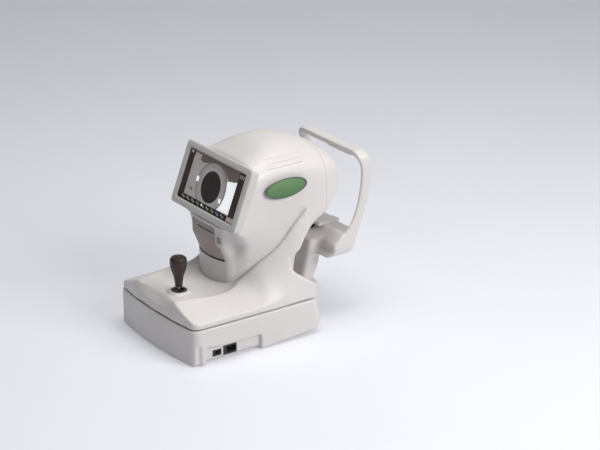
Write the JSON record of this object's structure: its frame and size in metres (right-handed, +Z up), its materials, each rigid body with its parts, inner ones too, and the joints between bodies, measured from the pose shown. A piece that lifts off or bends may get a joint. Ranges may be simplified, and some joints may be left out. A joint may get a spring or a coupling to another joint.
{
  "type": "autorefractor",
  "caption": "Table-top autorefractor: sliding carriage with joystick, lifting measuring head with tilted screen and printer, and a curved headrest with chin rest.",
  "frame": {"origin": "on the table, under the middle of the instrument's overall box", "axes": "+Z up, +Y towards the patient, +X to the operator's right"},
  "size_m": [0.317, 0.521, 0.4441],
  "materials": {
    "casing_white": "satin moulded, fine grain",
    "bezel_grey": "satin moulded, grey green",
    "column_grey": "satin moulded, taupe",
    "joystick_brown": "satin, near black brown",
    "rubber_black": "matte",
    "display_glass": "clear gloss",
    "lens_glass": "coated",
    "display": "lit picture",
    "steel": "ground",
    "aluminium": "cast and milled",
    "black_plastic": "moulded",
    "board_green": "circuit board",
    "bronze": "turned",
    "badge_green": "gloss, graded green",
    "paper": "paper",
    "pad_white": "soft silicone"
  },
  "bodies": {
    "base": {"base_casing": "casing_white", "bottom_plate": "steel", "rubber_feet": "rubber_black", "mains_inlet": "black_plastic", "data_socket": "black_plastic", "switch_frame": "black_plastic", "power_supply": "board_green", "fore_aft_shafts": "steel", "fore_shaft_supports": "aluminium", "headrest_frame": "casing_white", "headrest_post": "casing_white", "forehead_pad": "pad_white", "base_screws": "steel"},
    "rocker": {"power_rocker": "black_plastic"},
    "cross_slide": {"cross_slide_plate": "aluminium", "fore_aft_bushes": "aluminium", "side_shafts": "steel", "side_shaft_supports": "aluminium"},
    "carriage": {"carriage_cover": "casing_white", "carriage_plate": "aluminium", "side_bushes": "aluminium", "lift_motor": "black_plastic", "lift_columns": "steel", "joystick_housing": "black_plastic", "joystick_ring": "joystick_brown", "stage_screws": "steel"},
    "lift_screw": {"lead_screw": "steel"},
    "gimbal": {"joystick_gimbal": "black_plastic"},
    "joystick": {"joystick_shaft": "steel"},
    "grip": {"joystick_grip": "joystick_brown"},
    "button": {"measure_button": "joystick_brown"},
    "head": {"head_casing": "casing_white", "nose_cover": "casing_white", "printer_column": "casing_white", "printer_mechanism": "black_plastic", "paper_spindle": "black_plastic", "monitor_bezel": "bezel_grey", "monitor_back": "casing_white", "monitor_glass": "display_glass", "display_panel": "display", "head_frame": "aluminium", "lift_bushes": "bronze", "lift_nut": "bronze", "optical_tube": "black_plastic", "objective_lens": "lens_glass", "light_ring": "black_plastic", "measuring_window": "lens_glass", "window_rim": "black_plastic", "optical_bench": "aluminium", "beam_splitter": "lens_glass", "camera": "black_plastic", "main_board": "board_green", "side_badges": "badge_green"},
    "door": {"printer_door": "column_grey"},
    "catch": {"door_catch": "column_grey"},
    "platen": {"platen_roller": "rubber_black"},
    "paper": {"paper_roll": "paper"},
    "chin": {"chin_rest": "casing_white", "chin_shaft": "steel"},
    "ring": {"chin_ring": "black_plastic"}
  },
  "joints": [
    {"name": "fore_aft_slide", "type": "slide", "parent": "base", "child": "cross_slide", "axis": [0, 1, 0], "range_m": [-0.02, 0.02]},
    {"name": "side_slide", "type": "slide", "parent": "cross_slide", "child": "carriage", "axis": [1, 0, 0], "range_m": [-0.043, 0.043]},
    {"name": "head_lift", "type": "slide", "parent": "carriage", "child": "head", "axis": [0, 0, 1], "range_m": [0, 0.03]},
    {"name": "lead_screw_turn", "type": "hinge", "parent": "carriage", "child": "lift_screw", "pos_m": [0, 0.0295, 0.112], "axis": [0, 0, 1], "range_deg": [-2710, 5]},
    {"name": "joystick_fore_aft_tilt", "type": "hinge", "parent": "carriage", "child": "gimbal", "pos_m": [0.027, -0.2045, 0.112], "axis": [1, 0, 0], "range_deg": [-12, 12]},
    {"name": "joystick_side_tilt", "type": "hinge", "parent": "gimbal", "child": "joystick", "pos_m": [0.027, -0.2045, 0.112], "axis": [0, 1, 0], "range_deg": [-12, 12]},
    {"name": "grip_turn", "type": "hinge", "parent": "joystick", "child": "grip", "pos_m": [0.027, -0.2045, 0.18], "axis": [0, 0, 1], "continuous": true},
    {"name": "measure_press", "type": "slide", "parent": "grip", "child": "button", "axis": [0, 0, 1], "range_m": [-0.0014, 0], "stiffness_N_per_m": 900, "springref_m": 0.001},
    {"name": "power_rocker_tilt", "type": "hinge", "parent": "base", "child": "rocker", "pos_m": [-0.1445, -0.1655, 0.02], "axis": [0, 0, 1], "range_deg": [0, 12]},
    {"name": "printer_door_hinge", "type": "hinge", "parent": "head", "child": "door", "pos_m": [0, -0.104, 0.188], "axis": [1, 0, 0], "range_deg": [0, 70]},
    {"name": "door_catch_press", "type": "slide", "parent": "head", "child": "catch", "axis": [0, 1, 0], "range_m": [0, 0.0015], "stiffness_N_per_m": 800, "springref_m": -0.001},
    {"name": "paper_roll_turn", "type": "hinge", "parent": "head", "child": "paper", "pos_m": [0, -0.0675, 0.211], "axis": [1, 0, 0], "continuous": true},
    {"name": "platen_turn", "type": "hinge", "parent": "head", "child": "platen", "pos_m": [0, -0.097, 0.2435], "axis": [1, 0, 0], "continuous": true},
    {"name": "chin_rest_lift", "type": "slide", "parent": "base", "child": "chin", "axis": [0, 0, 1], "range_m": [0, 0.04]},
    {"name": "chin_ring_turn", "type": "hinge", "parent": "base", "child": "ring", "pos_m": [0, 0.1715, 0.198], "axis": [0, 0, 1], "range_deg": [-2410, 5]}
  ],
  "couplings": [
    {"joint": "lead_screw_turn", "follows": "head_lift", "rad_per_m": -1570.8},
    {"joint": "platen_turn", "follows": "paper_roll_turn", "ratio": -3.6667},
    {"joint": "chin_ring_turn", "follows": "chin_rest_lift", "rad_per_m": -1047.2}
  ]
}
